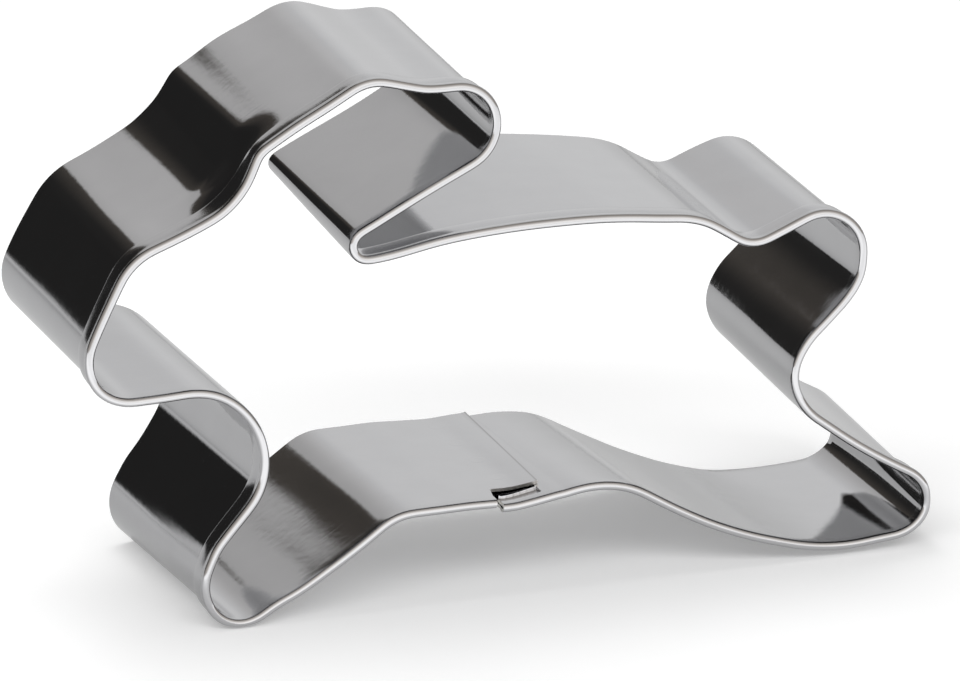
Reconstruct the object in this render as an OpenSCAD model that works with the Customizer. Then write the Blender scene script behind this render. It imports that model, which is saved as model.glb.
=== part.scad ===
// Cookie cutter: one strip of thin stainless steel, bent on edge round a set of pins into the
// outline of a small crouching animal, with its ends lapped and spot welded under the belly.
// The front edge is folded over outwards into a closed hem, which makes the blunt rim that the
// hand presses on. The plain edge at the back is the one that cuts.
// X runs along the animal from nose to foot, Y runs from the rim to the cutting edge, Z is up.
// The origin is on the floor under the middle of the cutter, half way along its depth.

/* [Outline] */
// Length of the animal, nose to toe, along the middle of the sheet
outline_l = 80.6; // [60:0.2:120]

/* [Strip] */
// Depth of the strip, from the nose of the rim to the cutting edge
strip_depth = 25; // [20:0.5:40]
// Thickness of the sheet
sheet_t = 0.3; // [0.2:0.05:0.4]

/* [Rim] */
// Width of the folded hem, from its nose to the sheet's own cut edge
hem_w = 2.8; // [2:0.1:3.2]
// Clear gap left between the two plies of the fold
fold_gap = 0.1; // [0.06:0.02:0.2]

/* [Lap seam] */
// Length over which the two ends of the strip lie on each other
lap_l = 10; // [8:0.5:12]
// Length of hem cut away from the inner end, which the outer end's tab fills
notch_l = 5.5; // [4:0.1:7]
// Depth of that cut, measured from the nose of the rim
notch_d = 3.8; // [3.6:0.1:5]
// Width of the tab of hem that is slit from the outer end
tab_w = 3; // [2.8:0.1:3.3]
// Width of the slit between the tab and the rest of the outer end
slit_w = 0.2; // [0.1:0.05:0.3]
// Gap between the two ends of the rim where they meet
rim_gap = 0.5; // [0.2:0.1:0.8]
// Distance of that gap past the end of the dip in the belly
rim_gap_shift = 0.8; // [0:0.1:1.2]
// Length of the jog that carries the outer end under the inner one
jog_l = 1; // [0.8:0.1:1.2]
// Gap between the inner end's cut edge and the jog
end_gap = 0.15; // [0.1:0.05:0.3]

/* [Spot welds] */
// Diameter of each weld nugget
weld_d = 2; // [1.5:0.1:2.5]
// Number of welds along the seam
weld_n = 4; // [2:1:5]
// Distance of the line of welds from the inner end's cut edge
weld_in = 3.2; // [2:0.1:4.5]
// Depth of the dimple that the welding tip leaves in each face
weld_dimple = 0.05; // [0.02:0.01:0.08]

/* [Hidden] */
$fn = 64;
// Steps that draw the rounds: most degrees in one step of a bend, furthest that such a step may
// stray from the true round, and how many steps go round the nose of the fold and round the gap
// inside it.
bend_step = 7.5;
stray = 0.02;
nose_steps = 6;
gap_steps = 3;

// The pins that the strip is bent round, in the order in which it passes them clockwise, laid
// out for an animal drawn_l long. Each is [x, height, radius to the middle of the sheet, side],
// where side is 1 for a pin inside the outline and -1 for one outside it.
INSIDE = 1;
OUTSIDE = -1;
drawn_l = 80.6;
bends = [
    [7.1, -2.7, 11.3, OUTSIDE],     // arch of the belly
    [0.4, 15.3, 7.5, INSIDE],       // dip in the belly, beside the seam
    [-5.7, -6.6, 15, OUTSIDE],      // flat of the belly
    [-9.8, 2, 6.2, OUTSIDE],        // back of the front leg
    [-25.8, 3.8, 4.05, INSIDE],     // paw
    [-23.9, 4.3, 5.65, INSIDE],     // front of the paw
    [-31.1, 15.3, 6.8, OUTSIDE],    // throat
    [-36.2, 26, 4.15, INSIDE],      // nose
    [-31.9, 30.5, 6.05, INSIDE],    // bridge of the nose
    [-31, 44, 6.15, OUTSIDE],       // hollow below the brow
    [-22.9, 42.4, 1.95, INSIDE],    // brow
    [-13.5, 44.5, 4.6, INSIDE],     // crown of the head
    [-7.8, 53.8, 5.7, OUTSIDE],     // dip before the ear
    [-6, 44.1, 3.9, INSIDE],        // ear
    [-14.3, 34.2, 1.3, OUTSIDE],    // nape
    [1.7, -44.9, 79.2, INSIDE],     // back
    [14.3, 23.5, 9.95, INSIDE],     // rump
    [23.1, 33.4, 3.05, OUTSIDE],    // dip before the tail
    [29.5, 28.2, 4.05, INSIDE],     // top of the tail
    [28.2, 27.1, 5.25, INSIDE],     // end of the tail
    [32.6, 16.9, 5.55, OUTSIDE],    // hollow of the hind leg
    [36.9, 3.4, 3.35, INSIDE],      // toe
    [32.8, 18.6, 18.85, INSIDE],    // sole
    [34.1, 33.5, 33.5, INSIDE],     // heel and thigh
];
DIP = 1;
PAW = 4;
NOSE = 7;
TOE = 21;

grow = outline_l / drawn_l;
count = len(bends);
function x_of(i) = bends[i % count][0] * grow;
function y_of(i) = bends[i % count][1] * grow;
function r_of(i) = bends[i % count][2] * grow;
function side(i) = bends[i % count][3];

// The strip runs straight from one pin to the next, along the line that touches both.
function reach(i) = [x_of(i + 1) - x_of(i), y_of(i + 1) - y_of(i)];
function step_out(i) = side(i) * r_of(i) - side(i + 1) * r_of(i + 1);
function heading(i) = atan2(reach(i)[1], reach(i)[0]) - asin(step_out(i) / norm(reach(i)));
function straight_l(i) = sqrt(norm(reach(i)) ^ 2 - step_out(i) ^ 2);
function wrap(a) = a - 360 * round(a / 360);
function turn(i) = wrap(heading(i) - heading(i + count - 1));
function arc_l(i) = abs(turn(i)) * r_of(i) * PI / 180;

// Stations are distances along the strip, counted from the start of the first bend.
function arc_at(i) = i == 0 ? 0 : straight_at(i - 1) + straight_l(i - 1);
function straight_at(i) = arc_at(i) + arc_l(i);
arc_starts = [for (i = [0 : count - 1]) arc_at(i)];
straight_starts = [for (i = [0 : count - 1]) straight_at(i)];
round_l = straight_starts[count - 1] + straight_l(count - 1);

// Angle, seen from pin i, of the place where the strip meets it.
function meets(i) = heading(i + count - 1) + side(i) * 90;

// Points of the strip's path, each [station, x, y, heading], at the steps of each bend and at
// the ends of each straight.
function bend_points(i) = let (
    step = min(bend_step, 2 * acos(1 - stray / r_of(i))),
    steps = ceil(abs(turn(i)) / step)
) [for (k = [0 : steps]) let (
    part = k / steps,
    a = meets(i) + turn(i) * part
) [
    arc_starts[i] + arc_l(i) * part,
    x_of(i) + r_of(i) * cos(a),
    y_of(i) + r_of(i) * sin(a),
    a - side(i) * 90
]];
path = [for (i = [0 : count - 1]) each bend_points(i)];
// The path goes round twice, so that a stretch may run on past the first bend.
twice = [for (lap = [0, 1], p = path) [p[0] + lap * round_l, p[1], p[2], p[3]]];

// The point of the path at any station, between its two neighbours in the list.
function behind(station) = max([for (k = [0 : len(twice) - 2]) twice[k][0] <= station ? k : 0]);
function at(station) = let (
    k = behind(station),
    a = twice[k],
    b = twice[k + 1],
    part = (station - a[0]) / (b[0] - a[0])
) [station, a[1] + (b[1] - a[1]) * part, a[2] + (b[2] - a[2]) * part, a[3] + wrap(b[3] - a[3]) * part];

// All points between two stations, with those at the two ends.
function stretch(from, to) = [
    at(from),
    for (p = twice) if (p[0] > from + least && p[0] < to - least) p,
    at(to)
];
least = 0.001;

// A point moved square to the path, away from the inside of the outline.
function moved(p, out) = [p[1] - out * sin(p[3]), p[2] + out * cos(p[3])];

// A ply of the sheet between two stations, as far out as given, between two depths.
module ply(from, to, out, near, far) {
    points = stretch(from, to);
    last = len(points) - 1;
    translate([0, 0, near])
        linear_extrude(far - near)
            polygon([
                for (p = points) moved(p, out - sheet_t / 2),
                for (k = [last : -1 : 0]) moved(points[k], out + sheet_t / 2),
            ]);
}

// Stands the outline up on its feet, with the rim in front.
outer_ply = sheet_t + fold_gap;
rim_out = outer_ply + sheet_t / 2;
left = x_of(NOSE) - r_of(NOSE) - rim_out;
right = x_of(TOE) + r_of(TOE) + rim_out;
low = y_of(PAW) - r_of(PAW) - rim_out;
module stand() {
    translate([-(left + right) / 2, -strip_depth / 2, -low])
        rotate([90, 0, 0])
            mirror([0, 0, 1])
                children();
}

// The fold in section, as [out, depth] points: round the outside of its nose, up the outer
// ply, across its cut edge, and back down and round the inside.
fold_r = sheet_t + fold_gap / 2;
function half_round(r, steps) = [for (k = [0 : steps]) let (
    a = 180 + 180 * k / steps
) [outer_ply / 2 + r * cos(a), fold_r + r * sin(a)]];
function backwards(list) = [for (k = [len(list) - 1 : -1 : 0]) list[k]];
fold_section = [
    each half_round(fold_r, nose_steps),
    [rim_out, hem_w],
    [rim_out - sheet_t, hem_w],
    each backwards(half_round(fold_gap / 2, gap_steps)),
];
// The tab has the same fold, and the width of wall that was slit off with it.
tab_section = [
    each fold_section,
    [sheet_t / 2, tab_w],
    [-sheet_t / 2, tab_w],
];

// A section carried along the path as one closed skin with a cap at each end.
module carried(section, from, to) {
    rings = stretch(from, to);
    n = len(section);
    last = len(rings) - 1;
    points = [for (p = rings, c = section) let (q = moved(p, c[0])) [q[0], q[1], c[1]]];
    sides = [for (k = [0 : last - 1], c = [0 : n - 1]) let (d = (c + 1) % n)
        [k * n + c, k * n + d, (k + 1) * n + d, (k + 1) * n + c]];
    polyhedron(points, [
        each [for (f = sides) each [[f[0], f[1], f[2]], [f[0], f[2], f[3]]]],
        [for (c = [n - 1 : -1 : 0]) c],
        [for (c = [0 : n - 1]) last * n + c],
    ]);
}

// Stations of the seam, in the order in which the strip passes them.
rim_end = straight_starts[DIP] + rim_gap_shift + rim_gap;
tab_end = rim_end - rim_gap;
inner_end = rim_end - notch_l;
jog_to = inner_end - end_gap;
jog_from = jog_to - jog_l;
outer_end = inner_end + lap_l;
outer_from = tab_w + slit_w;

// The welds lie on one line, evenly spaced between the notch and the cutting edge.
weld_at = inner_end + weld_in;
weld_pitch = (strip_depth - notch_d) / weld_n;
function weld_depth(k) = notch_d + (k + 0.5) * weld_pitch;
// The line of welds crosses the dip, so it is aimed at that bend's pin.
weld_turn = meets(DIP) - (weld_at - arc_starts[DIP]) * 180 / (PI * r_of(DIP));
module at_welds() {
    for (k = [0 : weld_n - 1])
        translate([x_of(DIP), y_of(DIP), weld_depth(k)])
            rotate([0, 0, weld_turn])
                rotate([0, 90, 0])
                    children();
}

module cutting_wall() {
    color("gainsboro")
        stand()
            difference() {
                ply(inner_end, round_l + jog_from, 0, fold_r, strip_depth);
                notch();
                weld_holes();
            }
}

// The length of hem and wall that is cut away from the inner end.
module notch() {
    clear = sheet_t;
    translate([0, 0, fold_r - clear])
        linear_extrude(notch_d - fold_r + clear)
            polygon([
                for (p = stretch(inner_end - clear, rim_end)) moved(p, -sheet_t),
                for (p = backwards(stretch(inner_end - clear, rim_end))) moved(p, sheet_t),
            ]);
}

module rolled_rim() {
    color("whitesmoke")
        stand()
            carried(fold_section, rim_end, round_l + jog_from);
}

module rim_tab() {
    color("whitesmoke")
        stand()
            carried(tab_section, jog_from, tab_end);
}

module lap_tongue() {
    color("silver")
        stand()
            difference() {
                union() {
                    jog();
                    ply(jog_to, outer_end, sheet_t, outer_from, strip_depth);
                }
                weld_holes();
            }
}

// The short slanted run that takes the outer end down by one thickness of sheet.
module jog() {
    half = sheet_t / 2;
    translate([0, 0, outer_from])
        linear_extrude(strip_depth - outer_from)
            polygon([
                moved(at(jog_from), -half),
                moved(at(jog_from), half),
                moved(at(jog_to), half + sheet_t),
                moved(at(jog_to), half),
            ]);
}

module weld_holes() {
    at_welds()
        translate([0, 0, r_of(DIP) - sheet_t])
            cylinder(h = 3 * sheet_t, d = weld_d);
}

module spot_welds() {
    color("darkgray")
        stand()
            at_welds()
                translate([0, 0, r_of(DIP) - sheet_t / 2 + weld_dimple])
                    cylinder(h = 2 * sheet_t - 2 * weld_dimple, d = weld_d);
}

cutting_wall();
rolled_rim();
rim_tab();
lap_tongue();
spot_welds();
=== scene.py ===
"""A cookie cutter: one strip of thin stainless steel, bent on edge round pins, with a folded rim,
a lapped seam and spot welds. The strip is worked out in millimetres and placed in metres."""
import math

import bpy
import numpy as np
from bpy.props import FloatProperty, FloatVectorProperty, PointerProperty
from mathutils import Matrix, Vector


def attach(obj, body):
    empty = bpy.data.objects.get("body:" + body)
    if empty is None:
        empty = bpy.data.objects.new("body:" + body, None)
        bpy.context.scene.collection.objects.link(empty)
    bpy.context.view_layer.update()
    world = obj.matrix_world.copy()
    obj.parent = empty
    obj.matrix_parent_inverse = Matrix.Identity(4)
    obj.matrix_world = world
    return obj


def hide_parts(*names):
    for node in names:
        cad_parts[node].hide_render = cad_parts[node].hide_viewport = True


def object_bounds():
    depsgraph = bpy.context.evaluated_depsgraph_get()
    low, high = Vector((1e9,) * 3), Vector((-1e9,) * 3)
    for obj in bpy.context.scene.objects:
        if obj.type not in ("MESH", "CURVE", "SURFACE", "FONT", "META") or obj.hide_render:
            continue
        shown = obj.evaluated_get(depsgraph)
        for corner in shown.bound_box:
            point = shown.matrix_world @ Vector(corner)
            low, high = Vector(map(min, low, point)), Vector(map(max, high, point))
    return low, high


bl_info = {
    "name": "Animal cookie cutter",
    "version": (1, 0, 0),
    "blender": (4, 5, 0),
    "location": "View3D > Sidebar > Cookie cutter",
    "description": "Builds a bent strip steel cookie cutter with a folded rim and a lapped seam",
    "category": "Add Mesh",
}

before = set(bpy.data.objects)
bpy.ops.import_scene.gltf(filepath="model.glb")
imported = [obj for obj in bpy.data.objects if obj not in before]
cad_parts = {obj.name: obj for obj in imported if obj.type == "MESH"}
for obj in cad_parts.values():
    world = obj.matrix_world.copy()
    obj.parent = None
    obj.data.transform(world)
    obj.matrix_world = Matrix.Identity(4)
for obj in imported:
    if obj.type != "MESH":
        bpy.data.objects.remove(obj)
cad_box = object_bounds()

MM = 0.001
DEPTH = 25.0
INSIDE, OUTSIDE = 1.0, -1.0

# The pins that the strip is bent round, clockwise: x, height, radius to the middle of the
# sheet, and the side of the strip that the pin is on.
PINS = np.array([
    (7.1, -2.7, 11.3, OUTSIDE),
    (0.4, 15.3, 7.5, INSIDE),
    (-5.7, -6.6, 15, OUTSIDE),
    (-9.8, 2, 6.2, OUTSIDE),
    (-25.8, 3.8, 4.05, INSIDE),
    (-23.9, 4.3, 5.65, INSIDE),
    (-31.1, 15.3, 6.8, OUTSIDE),
    (-36.2, 26, 4.15, INSIDE),
    (-31.9, 30.5, 6.05, INSIDE),
    (-31, 44, 6.15, OUTSIDE),
    (-22.9, 42.4, 1.95, INSIDE),
    (-13.5, 44.5, 4.6, INSIDE),
    (-7.8, 53.8, 5.7, OUTSIDE),
    (-6, 44.1, 3.9, INSIDE),
    (-14.3, 34.2, 1.3, OUTSIDE),
    (1.7, -44.9, 79.2, INSIDE),
    (14.3, 23.5, 9.95, INSIDE),
    (23.1, 33.4, 3.05, OUTSIDE),
    (29.5, 28.2, 4.05, INSIDE),
    (28.2, 27.1, 5.25, INSIDE),
    (32.6, 16.9, 5.55, OUTSIDE),
    (36.9, 3.4, 3.35, INSIDE),
    (32.8, 18.6, 18.85, INSIDE),
    (34.1, 33.5, 33.5, INSIDE),
])
# From the pins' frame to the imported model's, in x and in height.
SHIFT = (-0.05, 0.88)

# Stations of the seam, along the strip from the start of the first bend: where the outer end
# starts to jog out, the inner end, the notch's end at its top, the start of the rim at the
# notch's foot, the end of the tab in the notch, and the outer end.
JOG_FROM, INNER_END = 8.18, 9.33
NOTCH_TOP_END, RIM_END, TAB_END, OUTER_END = 14.58, 15.02, 14.33, 19.33
# The slit parts the tab from the tongue from this station on, and its rounded end is this long.
SLIT_END, SLIT_ROUND = 10.25, 0.12
# Depth at which the pieces of the hem meet those of the wall. Their last rows lie this far apart.
HEM_TOP, ROW_GAP = 1.3, 0.01

# How far the sprung strip stands out from the belt, in hundredths of a millimetre, at its rim
# and at its cutting edge: evenly spaced control values from the inner end round to the jog.
RIM_OUT = np.array([
    -19, -16, -15, 1, 36, 20, 5, 29, 35, 28, 24, -42, 36, 25, -9, -18, -29, -53, -33, -9,
    2, 0, 12, 7, -6, 2, -14, -2, -5, -11, -22, -33, -29, -5, -23, -10, 1, -11, -6, 0,
    -24, -26, 2, 18, 25, 21, 13, 12, 17, 20, -26, -30, -9, -7, -9, -8, -7, -1, 7, 0,
    -13, 1, -11, -26, -19, -8, -8, 19, 38, -8, 43, 48, 1, 20, 12, -15, -21, -12, 10, 63,
    14, 12, 14, 15, 24, 19, 15, 19, 24, 12, -3, 7, 19, 21,
])
EDGE_OUT = np.array([
    29, -12, -37, -11, 12, 7, -10, 1, 23, 14, 10, -16, 30, 42, -14, -62, -65, -19, 20, 29,
    15, -18, -42, -43, -34, -23, -16, 3, -14, -41, -48, -26, 13, 49, -20, -39, 8, -13, -36, 4,
    -44, -39, 3, -23, -33, -13, 3, 2, -4, 10, -5, -19, -20, -13, -2, 11, 22, 26, 20, 8,
    -13, -22, -34, -24, 0, -12, -45, -28, -8, -5, 39, 62, 37, 39, 24, 6, -8, -6, 32, 58,
    -11, 10, 8, 9, 30, 27, 14, 19, 31, 36, 43, 63, 42, 2,
])

# Units of the UV map in one millimetre of strip, and the turn from which an edge shows as sharp.
UV_PER_MM = 0.01
SHARP_ANGLE = math.radians(38)


def belt():
    """Round from pin to pin. The straight between two pins is the line that touches both: it
    turns from the line of their centres by the arcsine of the difference of their signed radii
    over their distance. Returns the heading before each pin, its turn and arc length, the start
    of each arc and of the straight after it, and the length of one whole round."""
    x, z, r, side = PINS.T
    nx, nz, nr, ns = np.roll(PINS, -1, 0).T
    gap = np.hypot(nx - x, nz - z)
    step = side * r - ns * nr
    head = np.arctan2(nz - z, nx - x) - np.arcsin(step / gap)
    straight = np.sqrt(gap ** 2 - step ** 2)
    before = np.roll(head, 1)
    turn = (head - before + np.pi) % (2 * np.pi) - np.pi
    arc = np.abs(turn) * r
    ends = np.cumsum(np.column_stack([arc, straight]).ravel())
    starts = np.concatenate([[0], ends[:-1]]).reshape(-1, 2)
    return before, turn, arc, starts, ends[-1]


ROUND = belt()[-1]
SAMPLES_PER_MM = 20
SAMPLES = int(ROUND * SAMPLES_PER_MM)


def bent(softness):
    """Points of the closed path: on a bend the centre plus the radius at the angle reached, on
    a straight the end of the bend plus the heading times the distance. The whole loop is then
    blurred along its length by a Gaussian of the given width, as sheet never bends in a true
    circle that stops at once."""
    before, turn, arc, starts, whole = belt()
    x, z, r, side = PINS.T
    s = np.arange(SAMPLES) * whole / SAMPLES
    k = np.searchsorted(starts[:, 0], s, side="right") - 1
    u = s - starts[k, 0]
    a = before[k] + turn[k] * np.clip(u / arc[k], 0, 1)
    c = a + side[k] * np.pi / 2
    more = np.clip(u - arc[k], 0, None)
    px = x[k] + r[k] * np.cos(c) + more * np.cos(a)
    pz = z[k] + r[k] * np.sin(c) + more * np.sin(a)
    wave = np.exp(-2 * (np.pi * np.fft.rfftfreq(SAMPLES, d=whole / SAMPLES) * softness) ** 2)
    return [np.fft.irfft(np.fft.rfft(v) * wave, SAMPLES) + shift for v, shift in zip((px, pz), SHIFT)]


def on_path(path, s):
    """Point and outward normal of a closed path at any station, by a cubic through the four
    samples round it. The normal is the heading turned a quarter to the left."""
    x, z = path
    u = np.mod(np.asarray(s, float), ROUND) / ROUND * SAMPLES
    k = np.floor(u).astype(int) % SAMPLES
    t = u - np.floor(u)

    def cubic(v):
        a, b, c, d = v[(k - 1) % SAMPLES], v[k], v[(k + 1) % SAMPLES], v[(k + 2) % SAMPLES]
        return b + 0.5 * t * (c - a + t * (2 * a - 5 * b + 4 * c - d + t * (3 * (b - c) + d - a)))

    dx, dz = np.roll(x, -1) - np.roll(x, 1), np.roll(z, -1) - np.roll(z, 1)
    length = np.hypot(dx, dz)
    nx, nz = cubic(-dz / length), cubic(dx / length)
    unit = np.hypot(nx, nz)
    return cubic(x), cubic(z), nx / unit, nz / unit


def ease(x):
    """0 below 0, 1 above 1, and between them 3 x squared less 2 x cubed."""
    x = np.clip(x, 0, 1)
    return x * x * (3 - 2 * x)


def window(v, rise, rise_length, fall, fall_length):
    """Eases from 0 to 1 over a length from one place on, and back to 0 from another."""
    return ease((v - rise) / rise_length) * (1 - ease((v - fall) / fall_length))


def spline(control, t):
    """Uniform cubic B-spline. The four control values round t are weighted by the cubic basis
    polynomials of the part u of t past a whole number, and summed."""
    t = np.clip(t, 0, len(control) - 3)
    k = np.minimum(np.floor(t).astype(int), len(control) - 4)
    u = t - k
    weights = ((1 - u) ** 3, 3 * u ** 3 - 6 * u ** 2 + 4, -3 * u ** 3 + 3 * u ** 2 + 3 * u + 1, u ** 3)
    return sum(control[k + i] * w for i, w in enumerate(weights)) / 6


class Strip:
    """The bent strip as a surface: place(station, out, depth) gives the points of the strip at
    distances along it, square to it and back from the nose of its rim."""

    # How the cutting edge has sprung against the rim, in x and in height: the factors of 1, u,
    # v, u squared, u times v and v squared, where u and v run over the outline from -1 to 1.
    SPRUNG = np.array([
        [0.033, 0.412, 0.391, 0.411, -0.207, -0.096],
        [-0.056, -0.686, -0.019, -0.05, 0.014, -0.256],
    ])
    HALF_LENGTH, HALF_HEIGHT = 40, 25
    # Where the softer path holds, as windows: behind the hem, and at the stations of the head.
    SOFT_DEPTHS = (1.6, 2.2, 4.4, 3.2)
    SOFT_STATIONS = (96, 3, 113, 6)
    # Waves in the sheet: strength, count in one round and its phase, and the depth over which
    # the wave across turns by one radian, with its phase. They start behind the hem.
    WAVES = (
        (1, 19, 0.4, 7.1, 0.8),
        (0.8, 31, 2.1, 4.9, 2.2),
        (0.5, 47, 4.0, 3.7, 1.1),
        (0.3, 71, 1.2, 2.9, 0.3),
        (0.9, 11, 5.2, 9.3, 1.7),
    )
    WAVES_FROM, WAVES_RISE = 1.6, 6
    # The gap between the lapped plies, and how much wider it is at the cutting edge.
    LAP_GAP, LAP_OPENS = 0.015, 0.08
    # How far out the hem reaches, the depths of its nose and of its lip, and the count of
    # stations at which the reach of the whole strip is measured.
    HEM_REACH, NOSE_AT, LIP_AT, REACH_STATIONS = 0.72, 0.4, 2.8, 1200
    # What stays free inside the solid model's box, and the stretch that is drawn in: its least
    # length and its least share of the excess.
    BOX_MARGIN, LEAST_STRETCH, STRETCH_SHARE = 0.01, 0.6, 1.1
    # The greatest turn of one face in a bend.
    FACE_TURN = math.radians(4)

    def __init__(self, sizes):
        self.sizes = sizes
        self.half = sizes.sheet / MM / 2
        self.flare = sizes.flare / MM
        self.path = bent(sizes.bend_softness / MM)
        self.soft_path = bent(sizes.rim_softness / MM)
        low, high = cad_box
        self.low = np.array(low)[[0, 2]] / MM
        self.high = np.array(high)[[0, 2]] / MM
        s = np.linspace(INNER_END, ROUND + JOG_FROM, self.REACH_STATIONS)[:, None]
        out = np.array([self.HEM_REACH, self.HEM_REACH, self.half])
        reach = self.free(s, out, np.array([self.NOSE_AT, self.LIP_AT, DEPTH])).reshape(-1, 3)
        self.least, self.most = [f(reach, axis=0)[[0, 2]] for f in (np.min, np.max)]

    def stand_out(self, s, y):
        """How far the strip stands out from the belt: between the rim's spline and the cutting
        edge's by the share of the depth. Past the jog, where the outer end lies under the inner
        one, it eases over to the inner ply's value plus one sheet and the gap of the lap."""
        share = y / DEPTH
        whole = ROUND + JOG_FROM - INNER_END

        def one(s):
            t = (s - INNER_END) / whole * (len(RIM_OUT) - 3)
            rim, edge = spline(RIM_OUT, t) / 100, spline(EDGE_OUT, t) / 100
            return rim + (edge - rim) * share

        here = one(s)
        under = one(s - ROUND) + 2 * self.half + self.LAP_GAP + self.LAP_OPENS * share
        return here + (under - here) * ease((s - ROUND - JOG_FROM) / (INNER_END - JOG_FROM))

    def free(self, s, out, y):
        """Path point, plus the outward normal times the distance out, plus the flare and the
        spring times the share of the depth before or behind the middle. Round the head, just
        behind the hem, the path is the softer one, because the hem holds the sheet back from
        bending as tightly as the free wall does."""
        s, out, y = np.broadcast_arrays(*(np.asarray(v, float) for v in (s, out, y)))
        x, z, nx, nz = on_path(self.path, s)
        soft = on_path(self.soft_path, s)
        w = window(y, *self.SOFT_DEPTHS) * window(s, *self.SOFT_STATIONS)
        x, z, nx, nz = [a + (b - a) * w for a, b in zip((x, z, nx, nz), soft)]
        u, v = x / self.HALF_LENGTH, (z - self.HALF_HEIGHT) / self.HALF_HEIGHT
        terms = np.stack([np.ones_like(u), u, v, u * u, u * v, v * v])
        spring = np.tensordot(self.SPRUNG, terms, 1)
        share = y / DEPTH - 0.5
        out = out + self.ripple(s, y) + self.stand_out(s, y)
        return np.stack([
            x + nx * (out + self.flare * share) + spring[0] * share,
            y - DEPTH / 2,
            z + nz * (out + self.flare * share) + spring[1] * share,
        ], -1)

    def ripple(self, s, y):
        """Slight waves in the sheet: the sum of products of a sine along it and one across it,
        which die away towards the rim."""
        t = 2 * np.pi * s / ROUND
        rise = ease((y - self.WAVES_FROM) / self.WAVES_RISE)
        return self.sizes.waviness / MM * rise * sum(
            size * np.sin(count * t + along) * np.sin(y / depth + across)
            for size, count, along, depth, across in self.WAVES)

    def place(self, s, out, y):
        """The free point, drawn in where the sprung edge would leave the solid model's box: over
        the last stretch before a limit, or a little more than the excess if that is longer, the
        distance t becomes t less the excess times the square of t over its greatest value."""
        p = self.free(s, out, y)
        for axis, k in ((0, 0), (2, 1)):
            for sign, limit, far in ((1, self.high[k], self.most[k]), (-1, -self.low[k], -self.least[k])):
                limit -= self.BOX_MARGIN
                excess = far - limit
                if excess > 0:
                    stretch = max(self.LEAST_STRETCH, self.STRETCH_SHARE * excess)
                    t = np.clip(sign * p[..., axis] - (limit - stretch), 0, None)
                    p[..., axis] -= sign * excess * (t / (stretch + excess)) ** 2
        return p * MM

    def stations(self, a, b):
        """Stations from a to b, closer together in the tight bends: their density is one in
        each step plus one in each face's turn."""
        s = np.linspace(a, b, int((b - a) * SAMPLES_PER_MM) + 2)
        x, z, nx, nz = on_path(self.path, s)
        angle = np.unwrap(np.arctan2(nz, nx))
        density = MM / self.sizes.step + np.abs(np.gradient(angle, s)) / self.FACE_TURN
        run = np.concatenate([[0], np.cumsum((density[1:] + density[:-1]) / 2 * np.diff(s))])
        count = int(math.ceil(run[-1])) + 1
        return np.interp(np.linspace(0, run[-1], count), run, s)


def jagged(s, size):
    """A sheared edge's unevenness: three sines of unlike lengths added up."""
    return size * (np.sin(s * 9.1) + 0.7 * np.sin(s * 17.3 + 1) + 0.5 * np.sin(s * 31.7 + 2)) / 2.2


def strip_mesh(name, points, station, depth, faces, materials):
    """A smooth mesh of quads, turned outwards by the sign of the volume that they enclose: the
    sum of each quad's first corner dotted with the cross products of the rest. Its UV map is
    the strip laid flat, as station and depth."""
    co = points.reshape(-1, 3)
    q = co[faces]
    area = np.cross(q[:, 1], q[:, 2]) + np.cross(q[:, 2], q[:, 3])
    if np.einsum("ij,ij->i", q[:, 0], area).sum() < 0:
        faces = faces[:, ::-1]
    mesh = bpy.data.meshes.new(name)
    mesh.vertices.add(len(co))
    mesh.vertices.foreach_set("co", co.ravel())
    mesh.loops.add(faces.size)
    mesh.loops.foreach_set("vertex_index", faces.ravel())
    mesh.polygons.add(len(faces))
    mesh.polygons.foreach_set("loop_start", np.arange(len(faces)) * 4)
    mesh.update(calc_edges=True)
    mesh.polygons.foreach_set("use_smooth", np.ones(len(faces), bool))
    uv = mesh.uv_layers.new(name="along_strip")
    flat = np.stack(np.broadcast_arrays(station, depth), -1).reshape(-1, 2) * UV_PER_MM
    uv.data.foreach_set("uv", flat[faces.ravel()].ravel())
    for material in materials:
        mesh.materials.append(material)
    return mesh


def closed_shell(name, strip, station, out, depth, edge_rows, materials):
    """A closed section carried along the strip, as a grid of rings. The first half of a ring
    faces its second half, so that row i is opposite row n-1-i. Quads join neighbouring rings,
    and each end is closed by quads between opposite rows. The rows of cut edges and both ends
    get the second material."""
    points = strip.place(station, out, depth)
    rings, n = points.shape[:2]
    i, j = np.meshgrid(np.arange(rings - 1), np.arange(n), indexing="ij")
    k = (j + 1) % n
    skin = np.stack([i * n + j, i * n + k, (i + 1) * n + k, (i + 1) * n + j], -1)
    h = np.arange(n // 2 - 1)
    end = np.stack([h + 1, h, n - 1 - h, n - 2 - h], -1)
    faces = np.concatenate([skin.reshape(-1, 4), end, end[:, ::-1] + (rings - 1) * n])
    mesh = strip_mesh(name, points, station, depth, faces, materials)
    on_edge = np.concatenate([np.isin(j, edge_rows).ravel(), np.ones(2 * len(end), bool)])
    mesh.polygons.foreach_set("material_index", on_edge.astype(np.int32))
    mesh.validate()
    mesh.set_sharp_from_angle(angle=SHARP_ANGLE)
    return mesh


def round_lenses(name, points, station, depth, materials):
    """Lenses one after the other: each is a section of radius against height turned once round,
    and its two poles are closed by quads between opposite points of the innermost rings."""
    count, around, n = points.shape[:3]
    i, j = np.meshgrid(np.arange(around), np.arange(n - 1), indexing="ij")
    k = (i + 1) % around
    skin = np.stack([i * n + j, k * n + j, k * n + j + 1, i * n + j + 1], -1)
    h = np.arange(around // 2 - 1)
    pole = np.stack([h + 1, h, around - 1 - h, around - 2 - h], -1) * n
    lens = np.concatenate([skin.reshape(-1, 4), pole, pole[:, ::-1] + n - 1])
    faces = (lens + np.arange(count)[:, None, None] * around * n).reshape(-1, 4)
    return strip_mesh(name, points, station, depth, faces, materials)


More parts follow.
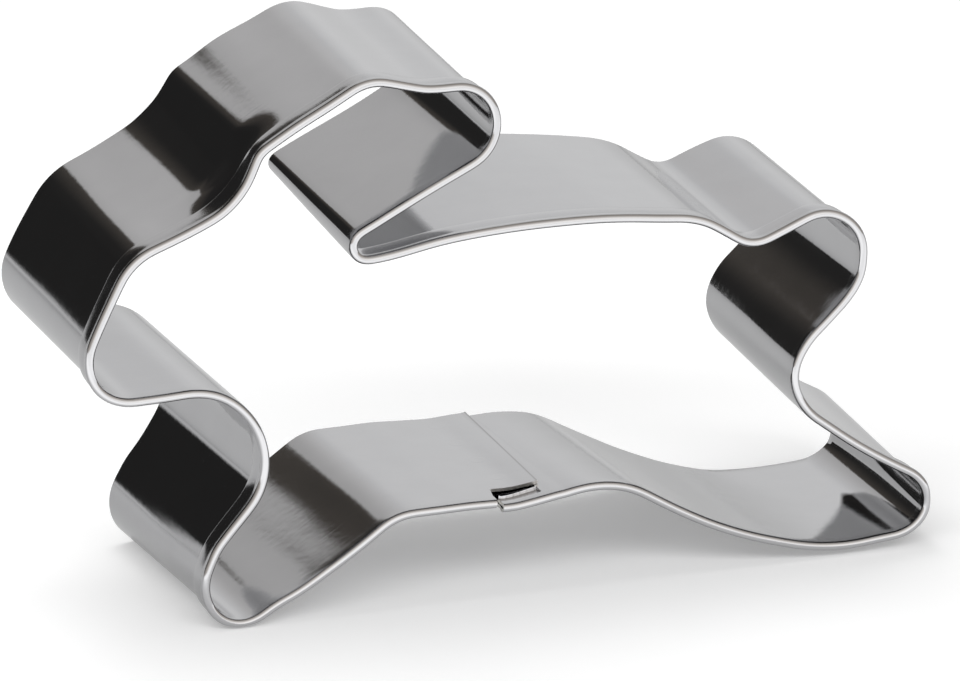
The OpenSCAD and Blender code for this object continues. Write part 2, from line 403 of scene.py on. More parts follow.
def linked(name, data):
    """A new object at the origin, linked into the scene."""
    thing = bpy.data.objects.new(name, data)
    bpy.context.scene.collection.objects.link(thing)
    return thing


def adopt(mesh, node):
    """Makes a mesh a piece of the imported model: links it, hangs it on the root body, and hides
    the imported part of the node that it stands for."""
    piece = linked(mesh.name, mesh)
    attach(piece, "root")
    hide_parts(node)


class Term:
    """A socket that Python's operators work on. Each operator adds a Math node."""

    def __init__(self, shader, socket):
        self.shader = shader
        self.socket = socket

    def _math(self, operation, a, b):
        return self.shader.node("ShaderNodeMath", {"operation": operation}, {0: a, 1: b})

    def __add__(self, other):
        return self._math("ADD", self, other)

    __radd__ = __add__

    def __sub__(self, other):
        return self._math("SUBTRACT", self, other)

    def __rsub__(self, other):
        return self._math("SUBTRACT", other, self)

    def __mul__(self, other):
        return self._math("MULTIPLY", self, other)

    __rmul__ = __mul__

    def greater(self, other):
        return self._math("MAXIMUM", self, other)

    def lesser(self, other):
        return self._math("MINIMUM", self, other)

    def other(self, key):
        """Another output of the same node."""
        return Term(self.shader, self.socket.node.outputs[key])


class Shader:
    """A node tree, cleared, with one method that adds any node."""

    def __init__(self, owner):
        owner.use_nodes = True
        self.tree = owner.node_tree
        self.tree.nodes.clear()

    def node(self, kind, settings=None, inputs=None, out=0):
        """Adds a node of a type, sets its settings and then its sockets, each to a value or a
        link, and returns one of its outputs. A ramp's stops are given as (place, colour)."""
        node = self.tree.nodes.new(kind)
        for key, value in (settings or {}).items():
            if key == "stops":
                ramp = node.color_ramp.elements
                while len(ramp) > 1:
                    ramp.remove(ramp[-1])
                ramp[0].position, ramp[0].color = value[0]
                for place, colour in value[1:]:
                    ramp.new(place).color = colour
            else:
                setattr(node, key, value)
        for key, value in (inputs or {}).items():
            if isinstance(value, Term):
                self.tree.links.new(value.socket, node.inputs[key])
            else:
                node.inputs[key].default_value = value
        return Term(self, node.outputs[out]) if len(node.outputs) else None

    def smooth(self, value, start, end):
        """0 on the start's side, 1 on the end's, eased between them. Either may be the greater."""
        settings = {"interpolation_type": "SMOOTHSTEP"}
        return self.node("ShaderNodeMapRange", settings, {0: value, 1: start, 2: end, 3: 0.0, 4: 1.0})

    def blend(self, share, one, other):
        """The first colour at share 0, the second at share 1."""
        return self.node("ShaderNodeMix", {"data_type": "RGBA"}, {0: share, 6: one, 7: other}, 2)

    def ramp(self, value, stops, scale, offset):
        """A ramp of greys over a value. Each stop is a value, a grey and how warm it is, and
        scale and offset take the values to the places from 0 to 1 that a ramp has."""
        places = [at * scale + offset for at, grey, warm in stops]
        colours = [(grey * (1 + warm), grey, grey * (1 - warm), 1) for at, grey, warm in stops]
        settings = {"stops": list(zip(places, colours))}
        return self.node("ShaderNodeValToRGB", settings, {0: value * scale + offset})

    def noise(self, vector, stretch, scale, detail, rough=0.5):
        """Noise between 0 and 1, on a vector whose first two parts are scaled apart."""
        vector = self.node("ShaderNodeMapping", None, {"Vector": vector, "Scale": (*stretch, 1.0)})
        return self.node("ShaderNodeTexNoise", {"noise_dimensions": "2D"}, {
            "Vector": vector, "Scale": scale, "Detail": detail, "Roughness": rough})

    def metal(self, colour, roughness, height, strength, distance):
        """Bare metal whose fine relief is a bump, as the tree's surface."""
        bump = self.node("ShaderNodeBump", None, {
            "Strength": strength, "Distance": distance, "Height": height})
        steel = self.node("ShaderNodeBsdfPrincipled", None, {
            "Base Color": colour, "Metallic": 1.0, "Roughness": roughness, "Normal": bump})
        self.node("ShaderNodeOutputMaterial", None, {"Surface": steel})


def shades(colour, *factors):
    """One colour made darker or lighter by each factor, with a solid alpha."""
    return [tuple(c * factor for c in colour) + (1,) for factor in factors]


def polished_steel(name, colour, rough, relief):
    """Mirror-polished strip. Its relief is rolling lines and fine hairs along the strip and small
    pits, and its roughness changes in faint clouds and with the hairs."""
    relief_height = 0.00002
    material = bpy.data.materials.new(name)
    s = Shader(material)
    uv = s.node("ShaderNodeTexCoord", None, None, "UV")
    lines = s.noise(uv, (3.0, 220.0), 3.0, 4.0, 0.6)
    hairs = s.noise(uv, (14.0, 900.0), 2.0, 3.0, 0.6)
    clouds = s.noise(uv, (18.0, 18.0), 1.4, 3.0)
    pits = s.noise(uv, (90.0, 90.0), 1.2, 2.0)
    height = lines * 0.35 + hairs * 0.15 + pits * 0.5
    roughness = rough + rough * 0.9 * (clouds - 0.5) + rough * 0.6 * (hairs - 0.5)
    darker, lighter = shades(colour, 0.97, 1.03)
    s.metal(s.blend(clouds, darker, lighter), roughness, height, relief, relief_height)
    return material


def sheared_steel(name, colour):
    """The cut edge of the sheet: brighter, duller and grainy, with broad darker patches."""
    relief, relief_height = 0.5, 0.00003
    material = bpy.data.materials.new(name)
    s = Shader(material)
    place = s.node("ShaderNodeTexCoord", None, None, "Object")
    grain = s.noise(place, (1.0, 1.0), 5000.0, 3.0)
    broad = s.noise(place, (1.0, 1.0), 900.0, 2.0)
    darker, plain = shades(colour, 0.8, 1)
    s.metal(s.blend(broad, darker, plain), 0.28 + 0.2 * grain, grain, relief, relief_height)
    return material


def steels(finish):
    """The three finishes, wall, rim and cut edge, made once and then found by name."""
    wall_relief, rim_relief = 0.25, 0.5
    makers = {
        "wall": ("polished_strip", polished_steel, finish.steel, finish.wall_roughness, wall_relief),
        "rim": ("folded_strip", polished_steel, finish.steel, finish.rim_roughness, rim_relief),
        "edge": ("sheared_edge", sheared_steel, finish.edge),
    }
    return {
        key: bpy.data.materials.get(name) or make(name, *looks)
        for key, (name, make, *looks) in makers.items()}


# The five rows at the top of the hem's wall ply, on its near and on its far face, where a slit
# has cut it: how far each follows the turned-up edge, and how far each lies below the cut.
CUT_NEAR = np.array([(1, 0.07), (0.66, 0.085), (0.33, 0.1), (0.02, 0.115), (0, 0.13)])
CUT_FAR = np.array([(1, 0), (0.75, 0), (0.45, 0.02), (0.2, 0.06), (0, 0.13)])
TOP_ROWS = len(CUT_NEAR)


def paired(near, far):
    """One closed ring from two sides of a sheet: up the first side, and down the second."""
    return np.concatenate([near, far[..., ::-1]], -1)


def wall_section(strip, y0):
    """The wall's two faces from depth y0 to the cutting edge, whose corners are cut off. Rows
    lie closer together in the first part behind the hem. Returns distances out, depths and the
    rows of cut edges."""
    corner, first_part = 0.05, 0.3
    t = np.concatenate([np.linspace(0, first_part, 14)[:-1], np.linspace(first_part, 1, 18)])
    y = y0[:, None] + (DEPTH - corner - y0[:, None]) * t
    y = np.concatenate([y, np.full((len(y0), 1), DEPTH)], 1)
    out = np.full(y.shape, strip.half)
    out[:, -1] -= corner
    n = y.shape[1]
    return paired(-out, out), paired(y, y), [n - 2, n - 1, n, 2 * n - 1]


def fold_section(strip):
    """The hem in section. Its near face comes down the inside of the wall, leans out along a
    parabola, goes round the nose on an arc, and up the outer ply. Its far face is the same curve
    moved in by the thickness of the sheet, down to a least radius in the nose. Both end in a cut
    edge with rounded corners. Returns distances out, depths and the rows of cut edges."""
    lean, lean_from, least_radius = math.radians(3.4), 1.25, 0.06
    half, sizes = strip.half, strip.sizes
    nose, lip = sizes.nose_radius / MM, sizes.hem / MM
    low = nose - nose * math.sin(lean)
    cx = math.tan(lean) * (lean_from - low) / 2 - half + nose * math.cos(lean)
    down = np.linspace(lean_from, low, 8)[:-1]
    bulge = math.tan(lean) / (lean_from - low) / 2 * (lean_from - down) ** 2
    a = np.linspace(math.pi + lean, 2 * math.pi, 21)
    y = np.linspace(nose, lip, 22)[1:-1]

    def leg(y):
        """The nose's side, less an eased step in to the waist, plus half a sine as swelling."""
        waist_over, swell_from, swell_past = 0.75, 1.0, 0.25
        side = cx + nose
        swell = np.sin(np.pi * np.clip((y - swell_from) / (lip + swell_past - swell_from), 0, 1))
        waist = (side - sizes.waist / MM) * ease((y - nose) / waist_over)
        return side - waist + sizes.swell / MM * swell

    def face(wall, radius, inwards, corners):
        """One face, with the corners of its cut edge as distances in from it and from the lip."""
        end = leg(lip) - inwards
        return np.concatenate([
            np.stack([np.full(TOP_ROWS, wall), HEM_TOP - ROW_GAP * np.arange(TOP_ROWS)], -1),
            np.stack([bulge + wall, down], -1),
            np.stack([cx + radius * np.cos(a), nose + radius * np.sin(a)], -1),
            np.stack([leg(y) - inwards, y], -1),
            [[end - x, lip - z] for x, z in corners],
        ])

    near = face(-half, nose, 0, ((0.01, 0.05), (0.06, 0)))
    far = face(half, max(nose - 2 * half, least_radius), 2 * half, ((-0.005, 0.02), (-0.02, 0)))
    out, y = np.concatenate([near, far[::-1]]).T
    n = len(near)
    return out, y, [n - 2, n - 1, n, 2 * n - 1]


class Sizes(bpy.types.PropertyGroup):
    """The strip's sizes."""
    sheet: FloatProperty(
        name="Sheet", description="Thickness of the sheet", default=0.0003, unit="LENGTH", precision=5)
    hem: FloatProperty(
        name="Hem", description="Width of the folded hem", default=0.0028, unit="LENGTH", precision=5)
    nose_radius: FloatProperty(
        name="Nose", description="Radius of the fold's round nose",
        default=0.00042, unit="LENGTH", precision=5)
    waist: FloatProperty(
        name="Waist", description="Distance out to the hem's outer face where it is drawn in",
        default=0.0005, unit="LENGTH", precision=5)
    swell: FloatProperty(
        name="Swell", description="How far the hem's outer face swells between waist and lip",
        default=0.00007, unit="LENGTH", precision=5)
    flare: FloatProperty(
        name="Flare", description="How far the cutting edge stands out past the rim all round",
        default=0.000756, unit="LENGTH", precision=6)
    bend_softness: FloatProperty(
        name="Bend softness", description="Length over which a bend starts and stops",
        default=0.00045, unit="LENGTH", precision=5)
    rim_softness: FloatProperty(
        name="Softness by the rim", description="The same just behind the hem, round the head",
        default=0.002, unit="LENGTH", precision=5)
    waviness: FloatProperty(
        name="Waviness", description="Height of the slight waves in the sheet",
        default=0.000008, unit="LENGTH", precision=6)
    step: FloatProperty(
        name="Step", description="Greatest length of one face along the strip",
        default=0.0006, unit="LENGTH", precision=5)


class Finish(bpy.types.PropertyGroup):
    """The colours and the polish of the steel."""
    steel: FloatVectorProperty(
        name="Steel", description="Colour of the polished steel",
        default=(0.48, 0.48, 0.49), subtype="COLOR")
    edge: FloatVectorProperty(
        name="Cut edge", description="Colour of the sheared edges",
        default=(0.72, 0.71, 0.69), subtype="COLOR")
    wall_roughness: FloatProperty(
        name="Wall roughness", description="Roughness of the polished wall",
        default=0.05, subtype="FACTOR")
    rim_roughness: FloatProperty(
        name="Rim roughness", description="Roughness of the folded rim", default=0.12, subtype="FACTOR")


class Stage(bpy.types.PropertyGroup):
    """The floor and the lights."""
    floor: FloatVectorProperty(
        name="Floor", description="Colour of the floor", default=(0.8, 0.8, 0.8), subtype="COLOR")
    sky: FloatProperty(
        name="Sky", description="Strength of the even light from all round", default=0.32)
    lamp: FloatProperty(
        name="Top lamp", description="Power of the soft box above", default=1.22, unit="POWER")
    front_lamp: FloatProperty(
        name="Front lamp", description="Power of the soft box in front", default=3.1, unit="POWER")


def made_from(context):
    """What a piece is made from: the strip and its finishes."""
    return Strip(context.scene.cutter_sizes), steels(context.scene.cutter_finish)


class CUTTER_OT_wall(bpy.types.Operator):
    """Make the polished wall, with the notch in its inner end"""
    bl_idname = "cutter.wall"
    bl_label = "Wall"

    # The inner end lies this far past its own station at the notch, and slants back from there
    # by this much at the cutting edge. The slant dies away over this length of strip.
    END_PAST, END_SLANT, SLANT_OVER = 0.45, 0.99, 5
    # The notch's depth in the wall, how far its top bows and how uneven its cut is.
    NOTCH_TOP, NOTCH_BOW, NOTCH_JAGGED = 3.28, 0.1, 0.025
    # How far the stations run ahead at the cutting edge behind the notch's side, the length in
    # which that falls to a third, and the start and length of the stretch that ends it.
    AHEAD, AHEAD_FADE, AHEAD_UNTIL, AHEAD_OVER = 1.6, 9, 30, 20
    # The burr along the inner end: its height and its width.
    BURR, BURR_WIDTH = 0.04, 0.13

    def execute(self, context):
        strip, steel = made_from(context)
        # Stations across the notch's top, closer together on the burr.
        start = INNER_END + self.END_PAST
        across = np.concatenate([
            [0, 0.03, 0.06, 0.1, 0.14, 0.2], np.linspace(0.07, 1, 36) * (NOTCH_TOP_END - start)])
        bow = self.NOTCH_BOW * np.sin(across / across[-1] * math.pi)
        notch = self.NOTCH_TOP + bow + jagged(start + across, self.NOTCH_JAGGED)
        side = np.linspace(0, 1, 8)[1:]
        rest = strip.stations(RIM_END, JOG_FROM + ROUND)[1:]
        foot = np.concatenate([start + across, NOTCH_TOP_END + (RIM_END - NOTCH_TOP_END) * side, rest])
        low = np.concatenate([
            notch, notch[-1] + (HEM_TOP - notch[-1]) * side, np.full(len(rest), HEM_TOP)])
        # The rows of points lean over behind the notch's side, so that none is squeezed there,
        # and the inner end itself slants the other way.
        ahead = self.AHEAD * np.concatenate([
            np.zeros(len(across)), side, np.exp(-(rest - RIM_END) / self.AHEAD_FADE)])
        ahead *= 1 - ease((foot - self.AHEAD_UNTIL) / self.AHEAD_OVER)
        ahead -= self.END_SLANT * (1 - ease((foot - start) / self.SLANT_OVER))
        out, y, edges = wall_section(strip, low)
        s = foot[:, None] + ahead[:, None] * (y - low[:, None]) / (DEPTH - low[:, None])
        out = out - self.BURR * (1 - ease((foot - start) / self.BURR_WIDTH))[:, None]
        mesh = closed_shell("polished_wall", strip, s, out, y, edges, (steel["wall"], steel["edge"]))
        adopt(mesh, "cutting_wall")
        return {"FINISHED"}


class CUTTER_OT_rim(bpy.types.Operator):
    """Make the folded rim that runs all round the front"""
    bl_idname = "cutter.rim"
    bl_label = "Rim"

    # The rim's cut start slants back by this share of the depth past the hem's top, and the
    # slant dies away over this length.
    START_SLANT, SLANT_FADE = 0.2, 0.5

    def execute(self, context):
        strip, steel = made_from(context)
        out, y, edges = fold_section(strip)
        s = strip.stations(RIM_END, JOG_FROM + ROUND)[:, None]
        past = np.clip(y - HEM_TOP, 0, None)
        s = s - self.START_SLANT * past * np.exp(-(s - RIM_END) / self.SLANT_FADE)
        mesh = closed_shell("folded_rim", strip, s, out, y, edges, (steel["rim"], steel["edge"]))
        adopt(mesh, "rolled_rim")
        return {"FINISHED"}


class CUTTER_OT_rim_tab(bpy.types.Operator):
    """Make the tab of hem that fills the notch"""
    bl_idname = "cutter.rim_tab"
    bl_label = "Rim tab"

    # Depth of the slit, how much less it is at the tab's end, and how uneven its cut is.
    SLIT_DEPTH, SLIT_FALL, SLIT_JAGGED = 2.1, 0.4, 0.008
    # The station from which the slit's depth falls, and over what length.
    FALL_FROM, FALL_OVER = 10.4, 3.8
    # How far the cut edge is turned up, and how much less at the tab's end.
    TURNED, TURNED_LESS = 0.33, 0.08
    # How far the wall ply's last corner is bent up, and over what length.
    CORNER, CORNER_OVER = 0.08, 0.3
    # How far the tab sinks under the plies beside it, from which station and over what length.
    SINKS, SINKS_FROM, SINKS_OVER = 0.145, 11.6, 2.7

    def execute(self, context):
        strip, steel = made_from(context)
        out, y, edges = fold_section(strip)
        # Stations along the tab, closer together at the slit's end and at the tab's own.
        s = np.concatenate([
            np.linspace(JOG_FROM, SLIT_END - 0.08, 14),
            np.linspace(SLIT_END, SLIT_END + 0.2, 5),
            np.linspace(SLIT_END + 0.3, TAB_END - 0.3, 40),
            np.linspace(TAB_END - 0.24, TAB_END, 5),
        ])[:, None]
        cut = np.zeros((len(y), 2))
        cut[:TOP_ROWS], cut[-TOP_ROWS:] = CUT_NEAR, CUT_FAR[::-1]
        turned, below = cut.T
        wall_row = np.minimum(np.arange(len(y)), np.arange(len(y))[::-1]) < TOP_ROWS
        # The wall ply's top rises at the slit's end, and from there on it is turned up.
        free = ease((s - SLIT_END) / SLIT_ROUND)
        fallen = np.clip((s - self.FALL_FROM) / self.FALL_OVER, 0, 1)
        slit = self.SLIT_DEPTH - self.SLIT_FALL * fallen + jagged(s, self.SLIT_JAGGED)
        raised = np.maximum(HEM_TOP - below + (slit - HEM_TOP) * free, y)
        grown = np.where(wall_row & (free > 0), raised, y)
        lift = (self.TURNED - self.TURNED_LESS * fallen) * turned * free
        lift = lift + self.CORNER * ease((s - TAB_END + self.CORNER_OVER) / self.CORNER_OVER) * wall_row
        sunk = self.SINKS * ease((s - self.SINKS_FROM) / self.SINKS_OVER)
        s, out = s + ROUND, out + sunk - lift
        mesh = closed_shell("rim_tab_fold", strip, s, out, grown, edges, (steel["rim"], steel["edge"]))
        adopt(mesh, "rim_tab")
        return {"FINISHED"}


class CUTTER_OT_lap_tongue(bpy.types.Operator):
    """Make the outer end of the strip, which jogs out and lies under the inner end"""
    bl_idname = "cutter.lap_tongue"
    bl_label = "Lap tongue"

    # Past the slit the tongue starts this much deeper than the hem's top.
    SET_BACK = 1.2
    # How far its edge by the slit is pressed down, from which depth and over what width.
    PRESSED, PRESSED_FROM, PRESSED_OVER = 0.45, 3.95, 0.6

    def execute(self, context):
        strip, steel = made_from(context)
        s = np.linspace(JOG_FROM, OUTER_END, 90)[:, None] + ROUND
        free = ease((s - ROUND - SLIT_END) / SLIT_ROUND)
        out, y, edges = wall_section(strip, (HEM_TOP + self.SET_BACK * free)[:, 0])
        out = out + self.PRESSED * free * np.clip((self.PRESSED_FROM - y) / self.PRESSED_OVER, 0, 1)
        mesh = closed_shell("lap_tongue_ply", strip, s, out, y, edges, (steel["wall"], steel["edge"]))
        adopt(mesh, "lap_tongue")
        return {"FINISHED"}


class CUTTER_OT_welds(bpy.types.Operator):
    """Make the spot welds that hold the two ends together"""
    bl_idname = "cutter.welds"
    bl_label = "Spot welds"

    # Station of the welds' line, their count and width, and the depth from which they are
    # spread over the lap.
    AT, COUNT, WIDTH, FROM = 12.53, 4, 2.0, 3.8
    # How proud of the plies a weld stands, and how deep its border is sunk, from this share of
    # its radius on.
    PROUD, SUNK, BORDER = 0.006, 0.03, 0.75

    def execute(self, context):
        strip, steel = made_from(context)
        pitch = (DEPTH - self.FROM) / self.COUNT
        middle = (self.FROM + (np.arange(self.COUNT) + 0.5) * pitch)[:, None, None]
        a = np.linspace(0, 2 * math.pi, 41)[:-1, None]
        share = np.linspace(0.02, 1, 9)
        r = share * self.WIDTH / 2
        proud = self.PROUD - self.SUNK * ease((r - self.BORDER) / (1 - self.BORDER))
        out = paired(-strip.half - proud, 3 * strip.half + proud)
        radius = paired(r, r)
        s = self.AT + radius * np.cos(a)
        y = middle + radius * np.sin(a)
        mesh = round_lenses("weld_spots", strip.place(s, out, y), s, y, (steel["wall"],))
        adopt(mesh, "spot_welds")
        return {"FINISHED"}


class CUTTER_OT_stage(bpy.types.Operator):
    """Make the floor, the surroundings, the lamps and the camera"""
    bl_idname = "cutter.stage"
    bl_label = "Stage"

    # All places and lengths of the stage are in metres, apart from the camera's.
    # The floor's sides and the radii of its rings.
    FLOOR_SIDES, FLOOR_RINGS = 96, np.array([0.15, 0.6, 4.0])
    # How much of its colour the floor has in reflections: painted shade on the floor, seen only in
    # reflections.
    FLOOR_DIMMED = 0.65
    # The floor's own glow for the camera and for reflections, and the steps by which each
    # changes: size, and where in y it starts and ends.
    FLOOR_GLOW, MIRRORED_GLOW = 0.25, 0.2
    BEYOND = (0.1, 0.0, 0.03)
    IN_FRONT = ((0.25, -0.011, -0.014), (0.85, -0.014, -0.045), (-0.25, -0.06, -0.11))
    # The backdrop's half width and height, and how far behind the object it stands.
    CARD_WIDTH, CARD_HEIGHT, CARD_AT = 1.2, 1.2, 0.5
    # Greys of the pale backdrop's glow, painted light for the steel to reflect: x, grey and how warm
    # it is. A level multiplies them, and grows upwards by two shares: each share, and the heights
    # where its growth starts and ends. The second share fades out to the right between two values of x.
    PALE_GREYS = (
        (-0.1, 0.6, 0.01), (-0.06, 0.63, 0.01), (-0.02, 0.675, 0.01), (0.02, 0.73, 0.008),
        (0.06, 0.785, 0.005), (0.1, 0.83, 0), (0.14, 0.89, 0), (0.18, 0.92, 0), (0.26, 0.92, 0),
        (0.34, 0.88, 0))
    LEVEL, HIGHER, HIGHEST, FADES = 0.72, (0.28, -0.02, 0.19), (0.16, 0.24, 0.34), (-0.02, 0.12)
    # Greys of the dark room, painted shade in the reflections, by the distance to the right of the
    # backdrop's upright edge.
    DARK_GREYS = ((-0.2, 0.024, 0.02), (-0.09, 0.028, 0.03), (-0.035, 0.06, 0.1), (0, 0.085, 0.12))
    # The upright edge as two points, each the distance left of the middle and the height, and
    # half the width over which it is soft.
    LOW_EDGE, HIGH_EDGE, EDGE_SOFT = (0.06, 0.18), (0.1175, 0.212), 0.003
    # The two parts of the room's pale ground, painted light in the reflections: x and height of a
    # point on the upper side, its slope and its greatest height. The ground's grey, and half the
    # height of its soft edge.
    GROUND = ((-0.165, -0.018, -0.5, 0.028), (-0.166, -0.02, 2.6, 0.036))
    GROUND_GREY, GROUND_SOFT = (0.7, 0.7, 0.7, 1), 0.01
    # Greys of the light that the steel reflects past the backdrop: the part of a ray's direction
    # that points away from the camera's side, grey and how warm it is.
    RING_GREYS = (
        (-0.96, 1.8, 0.02), (-0.88, 1.6, 0.03), (-0.78, 1.25, 0.04), (-0.68, 1.05, 0.05),
        (-0.45, 0.7, 0.07), (-0.3, 0.58, 0.08), (0.1, 0.36, 0.09), (0.5, 0.3, 0.08), (0.64, 0.5, 0))
    # The camera's direction in degrees, its roll, the point it looks at in millimetres, its
    # distance from there and its lens.
    AZIMUTH, ELEVATION, ROLL = -20.2099, 18.9648, 0.4696
    TARGET, DISTANCE, LENS = (-3.7465, -12.5, 24.8867), 804.531, 337.5

    def execute(self, context):
        stage = context.scene.cutter_stage
        self.floor(stage)
        self.backdrop()
        self.surroundings(stage)
        self.lamps(stage)
        self.camera()
        context.scene.view_settings.view_transform = "Standard"
        return {"FINISHED"}

    def floor(self, stage):
        """A round floor: rings of points with quads between them, closed by a fan round the
        middle. It glows a little. Reflections see it darker than the camera does, a painted shade, but
        with more glow in front of the object, a painted pool of light seen only in reflections."""
        n, rings = self.FLOOR_SIDES, len(self.FLOOR_RINGS)
        a = np.linspace(0, 2 * math.pi, n + 1)[:-1, None]
        r = self.FLOOR_RINGS
        co = np.stack([np.cos(a) * r, np.sin(a) * r, np.zeros((n, rings))], -1).reshape(-1, 3)
        co = np.concatenate([co, [[0, 0, 0]]])
        i, j = np.meshgrid(np.arange(n), np.arange(rings - 1), indexing="ij")
        here, there = i * rings + j, (i + 1) % n * rings + j
        quads = np.stack([here, here + 1, there + 1, there], -1).reshape(-1, 4).tolist()
        h = np.arange(n)
        fan = np.stack([np.full(n, n * rings), h * rings, (h + 1) % n * rings], -1).tolist()
        mesh = bpy.data.meshes.new("floor")
        mesh.from_pydata(co.tolist(), [], quads + fan)
        material = bpy.data.materials.new("pale_floor")
        s = Shader(material)
        mirrored = s.node("ShaderNodeLightPath", None, None, "Is Glossy Ray")
        place = s.node("ShaderNodeTexCoord", None, None, "Object")
        y = s.node("ShaderNodeSeparateXYZ", None, {0: place}).other("Y")
        first, second, third = [size * s.smooth(y, start, end) for size, start, end in self.IN_FRONT]
        size, start, end = self.BEYOND
        seen = self.FLOOR_GLOW + size * s.smooth(y, start, end)
        reflected = self.MIRRORED_GLOW + (first + second + third)
        glow = seen * (1 - mirrored) + reflected * mirrored
        # Lit and shaded copies of the floor's colour: plain to the camera, painted shade in reflections.
        plain, dimmed = shades(stage.floor, 1, self.FLOOR_DIMMED)
        matt = s.node("ShaderNodeBsdfDiffuse", None, {"Color": s.blend(mirrored, plain, dimmed)})
        light = s.node("ShaderNodeEmission", None, {"Color": glow, "Strength": 1.0})
        both = s.node("ShaderNodeAddShader", None, {0: matt, 1: light})
        s.node("ShaderNodeOutputMaterial", None, {"Surface": both})
        mesh.materials.append(material)
        linked("floor", mesh)

    def backdrop(self):
        """A glowing card behind the object that only reflections see, with painted light and shade for
        the steel to reflect: a pale wall that grows lighter to the right and upwards, and left of an
        upright edge a dark room. The room's pale ground has two parts, one that rises to the left and
        one that rises to the right."""
        x, z = np.array([(-1, 0), (1, 0), (1, 1), (-1, 1)]).T
        corners = np.stack([x * self.CARD_WIDTH, np.full(4, self.CARD_AT), z * self.CARD_HEIGHT], -1)
        mesh = bpy.data.meshes.new("backdrop")
        mesh.from_pydata(corners.tolist(), [], [(0, 1, 2, 3)])
        material = bpy.data.materials.new("studio_backdrop")
        s = Shader(material)
        place = s.node("ShaderNodeTexCoord", None, None, "Object")
        x = s.node("ShaderNodeSeparateXYZ", None, {0: place})
        z = x.other("Z")
        pale = s.ramp(x, self.PALE_GREYS, 2, 0.3)
        (higher, low, high), (highest, lower, upper) = self.HIGHER, self.HIGHEST
        left = 1 - s.smooth(x, *self.FADES)
        level = self.LEVEL + higher * s.smooth(z, low, high) + highest * s.smooth(z, lower, upper) * left
        pale = s.node("ShaderNodeVectorMath", {"operation": "SCALE"}, {0: pale, "Scale": level})
        (low_x, low_z), (high_x, high_z) = self.LOW_EDGE, self.HIGH_EDGE
        edge = s.node("ShaderNodeMapRange", None, {0: z, 1: low_z, 2: high_z, 3: low_x, 4: high_x})
        right = x + edge
        dark = s.ramp(right, self.DARK_GREYS, 4, 1)
        one, other = [
            (z - greatest).greater(z - height - slope * (x - at))
            for at, height, slope, greatest in self.GROUND]
        above = s.smooth(one.lesser(other), -self.GROUND_SOFT, self.GROUND_SOFT)
        dark = s.blend(above, self.GROUND_GREY, dark)
        both = s.blend(s.smooth(right, -self.EDGE_SOFT, self.EDGE_SOFT), dark, pale)
        # The card glows with these greys: painted light of the pale wall and ground, and painted shade of
        # the dark room, seen only in reflections.
        light = s.node("ShaderNodeEmission", None, {"Color": both, "Strength": 1.0})
        s.node("ShaderNodeOutputMaterial", None, {"Surface": light})
        mesh.materials.append(material)
        card = linked("backdrop", mesh)
        card.visible_camera = False
        card.visible_diffuse = False
        card.visible_transmission = False
        card.visible_shadow = False

    def surroundings(self, stage):
        """White to the camera, an even sky as light on the object, and to reflections rings of
        grey, bright on the camera's side and dark round the object and behind it."""
        world = bpy.data.worlds.new("studio")
        bpy.context.scene.world = world
        s = Shader(world)
        way = s.node("ShaderNodeTexCoord", None, None, "Generated")
        ring = s.ramp(s.node("ShaderNodeSeparateXYZ", None, {0: way}).other("Y"), self.RING_GREYS, 0.5, 0.5)
        camera = s.node("ShaderNodeLightPath", None, None, "Is Camera Ray")
        plain = s.blend(camera, (stage.sky, stage.sky, stage.sky, 1), (1, 1, 1, 1))
        seen = s.blend(camera.other("Is Glossy Ray"), plain, ring)
        light = s.node("ShaderNodeBackground", None, {"Color": seen, "Strength": 1.0})
        s.node("ShaderNodeOutputWorld", None, {"Surface": light})

    def lamps(self, stage):
        """A soft box above the object, a little behind it, and a wide one in front."""
        for name, power, size, place in (
                ("top_soft_box", stage.lamp, (0.4, 0.24), (-0.1, 0.1, 0.5)),
                ("front_soft_box", stage.front_lamp, (1.0, 0.24), (-0.2, -0.5, 0.5))):
            light = bpy.data.lights.new(name, "AREA")
            light.shape = "RECTANGLE"
            light.size, light.size_y = size
            light.energy = power
            lamp = linked(name, light)
            lamp.location = place
            lamp.rotation_euler = (-Vector(place)).to_track_quat("-Z", "Y").to_euler()
            lamp.visible_glossy = False

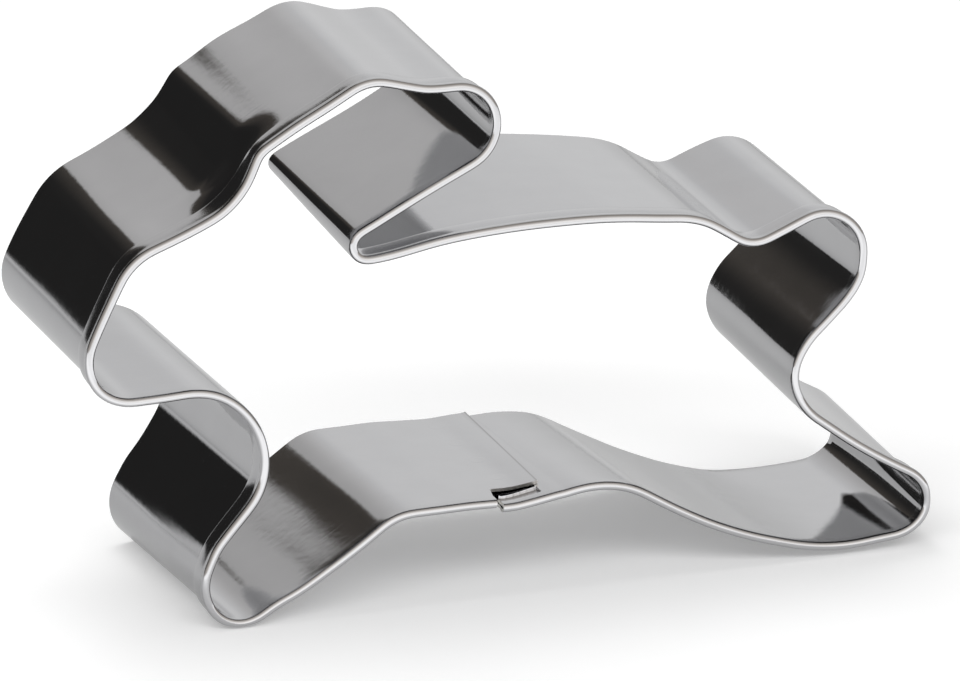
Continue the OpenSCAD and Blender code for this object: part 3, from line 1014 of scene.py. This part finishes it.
    def camera(self):
        """The photograph's view: the eye stands back from its target along an azimuth and an
        elevation, and the frame is rolled a little."""
        a, e, r = (math.radians(v) for v in (self.AZIMUTH, self.ELEVATION, self.ROLL))
        back = Vector((math.sin(a) * math.cos(e), -math.cos(a) * math.cos(e), math.sin(e)))
        right = Vector((math.cos(a), math.sin(a), 0))
        up = back.cross(right)
        right, up = math.cos(r) * right + math.sin(r) * up, math.cos(r) * up - math.sin(r) * right
        eye = Vector(self.TARGET) * MM + back * self.DISTANCE * MM
        lens = bpy.data.cameras.new("photo_view")
        lens.lens = self.LENS
        lens.sensor_width = 36
        lens.sensor_fit = "HORIZONTAL"
        lens.clip_start = 0.01
        lens.clip_end = 50
        camera = linked("photo_view", lens)
        camera.matrix_world = Matrix((*zip(right, up, back, eye), (0, 0, 0, 1)))
        bpy.context.scene.camera = camera


class CUTTER_PT_panel(bpy.types.Panel):
    """The sidebar's panel: every size, finish and light, and a button for each operator."""
    bl_label = "Cookie cutter"
    bl_idname = "CUTTER_PT_panel"
    bl_space_type = "VIEW_3D"
    bl_region_type = "UI"
    bl_category = "Cookie cutter"

    def draw(self, context):
        for group in (getattr(context.scene, name) for name in GROUPS):
            for key in group.__annotations__:
                self.layout.prop(group, key)
        for operator in OPERATORS:
            self.layout.operator(operator.bl_idname)


OPERATORS = (
    CUTTER_OT_wall, CUTTER_OT_rim, CUTTER_OT_rim_tab, CUTTER_OT_lap_tongue, CUTTER_OT_welds,
    CUTTER_OT_stage)
GROUPS = {"cutter_sizes": Sizes, "cutter_finish": Finish, "cutter_stage": Stage}
CLASSES = (*GROUPS.values(), *OPERATORS, CUTTER_PT_panel)


def register():
    for c in CLASSES:
        bpy.utils.register_class(c)
    for name, group in GROUPS.items():
        setattr(bpy.types.Scene, name, PointerProperty(type=group))


def unregister():
    for name in GROUPS:
        delattr(bpy.types.Scene, name)
    for c in reversed(CLASSES):
        bpy.utils.unregister_class(c)


def main():
    register()
    bpy.ops.cutter.wall()
    bpy.ops.cutter.rim()
    bpy.ops.cutter.rim_tab()
    bpy.ops.cutter.lap_tongue()
    bpy.ops.cutter.welds()
    bpy.ops.cutter.stage()


if __name__ == "__main__":
    main()
